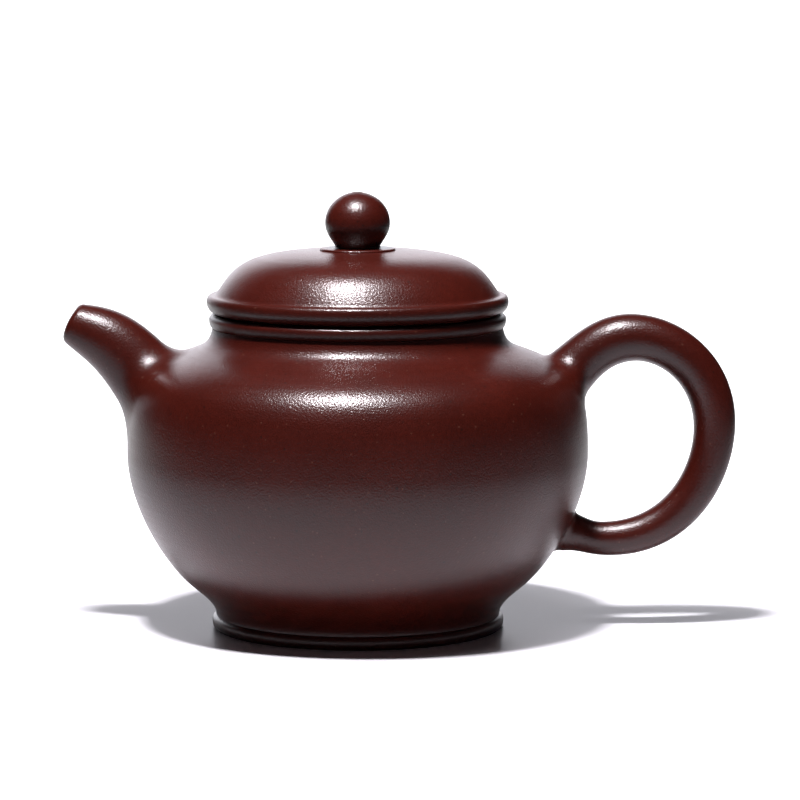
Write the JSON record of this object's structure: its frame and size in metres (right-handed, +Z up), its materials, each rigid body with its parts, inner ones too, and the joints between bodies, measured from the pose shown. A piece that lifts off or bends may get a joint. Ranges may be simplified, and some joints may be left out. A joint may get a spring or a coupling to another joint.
{
  "type": "teapot",
  "caption": "Round unglazed clay teapot with a short curved spout, a ring handle, a foot ring and a lift-off domed lid with a ball knob.",
  "frame": {"origin": "centre of the foot ring's resting face, on the pot's own axis", "axes": "+Z up along the pot's axis, +X towards the handle, -X towards the spout; the spout and handle lie in the XZ plane"},
  "size_m": [0.1498, 0.1026, 0.0972],
  "materials": {
    "burnished_clay": "unglazed stoneware clay, burnished to a satin sheen",
    "rim_clay": "the same clay, turned and smoothed at the rims",
    "handle_clay": "the same clay, rolled and burnished, with the grain along the handle",
    "lid_clay": "the same clay, burnished",
    "raw_clay": "the same clay left matt where it isn't burnished"
  },
  "bodies": {
    "pot": {"foot_ring": "burnished_clay", "base_disc": "raw_clay", "body_wall": "burnished_clay", "shoulder_disc": "burnished_clay", "neck_collar": "burnished_clay", "mouth_rim": "rim_clay", "spout": "burnished_clay", "spout_strainer": "raw_clay", "handle": "handle_clay"},
    "lid": {"lid_plate": "rim_clay", "lid_flange": "raw_clay", "lid_dome": "lid_clay", "knob_seat": "lid_clay", "knob": "lid_clay"}
  },
  "joints": [
    {"name": "lid_lift", "type": "slide", "parent": "pot", "child": "lid", "axis": [0, 0, 1], "range_m": [0, 0.06]}
  ]
}
